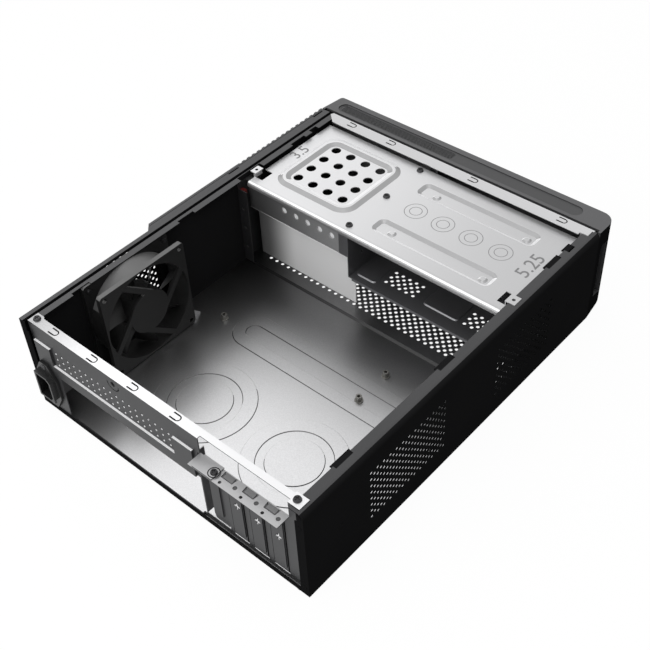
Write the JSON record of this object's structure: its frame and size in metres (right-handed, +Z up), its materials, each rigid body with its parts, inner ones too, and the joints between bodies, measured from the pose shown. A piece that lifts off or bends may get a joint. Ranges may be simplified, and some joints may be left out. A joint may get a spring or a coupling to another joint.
{
  "type": "micro atx pc case",
  "caption": "Slim desktop computer case with its cover off: steel shell, fan, slotted rear panel, drive bay under a pressed plate, and a moulded front.",
  "frame": {"origin": "bottom centre of the whole case, in the plane of the underside", "axes": "-Y is the moulded front, +Y the rear panel, +X the fan side, -X the vented side, +Z up out of the open top"},
  "size_m": [0.3076, 0.4052, 0.098],
  "materials": {
    "shell_black": "matte black powder coat",
    "zinc_floor": "plain zinc-coated sheet",
    "panel_zinc": "grey zinc-coated sheet",
    "bay_zinc": "light zinc-coated sheet",
    "tray_zinc": "plain zinc-coated sheet",
    "column_dark": "dark coat",
    "fan_plastic": "moulded black",
    "bezel_plastic": "moulded dark grey",
    "mesh_dark": "fine dark mesh",
    "inlet_plastic": "moulded black",
    "clip_red": "moulded red",
    "screw_steel": "bright zinc",
    "post_steel": "bright zinc",
    "board": "green board",
    "lens": "clear moulded"
  },
  "bodies": {
    "chassis": {"base_shell": "shell_black", "fan_side_frame": "shell_black", "side_guard": "shell_black", "floor_pan": "zinc_floor", "bay_partition": "zinc_floor", "rear_panel": "panel_zinc", "slot_cover": "panel_zinc", "drive_plate": "bay_zinc", "drive_rail_rear": "bay_zinc", "drive_rail_front": "bay_zinc", "front_frame": "bay_zinc", "optical_tray": "tray_zinc", "corner_column": "column_dark", "fan_frame": "fan_plastic", "front_bezel": "bezel_plastic", "bay_cover": "bezel_plastic", "bezel_mesh": "mesh_dark", "power_inlet": "inlet_plastic", "port_block": "inlet_plastic", "cable_clip": "clip_red", "plate_screws": "screw_steel", "panel_screws": "screw_steel", "slot_screw": "screw_steel", "inlet_screws": "screw_steel", "fan_screws": "screw_steel", "shell_rivets": "screw_steel", "board_standoffs": "post_steel", "switch_board": "board", "led_lenses": "lens"},
    "rotor": {"fan_rotor": "fan_plastic"},
    "power_key": {"power_button": "bezel_plastic"},
    "reset_key": {"reset_button": "bezel_plastic"}
  },
  "joints": [
    {"name": "rotor_turn", "type": "hinge", "parent": "chassis", "child": "rotor", "pos_m": [0.1266, 0.09315, 0.0486], "axis": [1, 0, 0], "continuous": true},
    {"name": "power_press", "type": "slide", "parent": "chassis", "child": "power_key", "axis": [0, 1, 0], "range_m": [0, 0.0015], "stiffness_N_per_m": 900, "springref_m": -0.0008},
    {"name": "reset_press", "type": "slide", "parent": "chassis", "child": "reset_key", "axis": [0, 1, 0], "range_m": [0, 0.0012], "stiffness_N_per_m": 700, "springref_m": -0.0008}
  ]
}
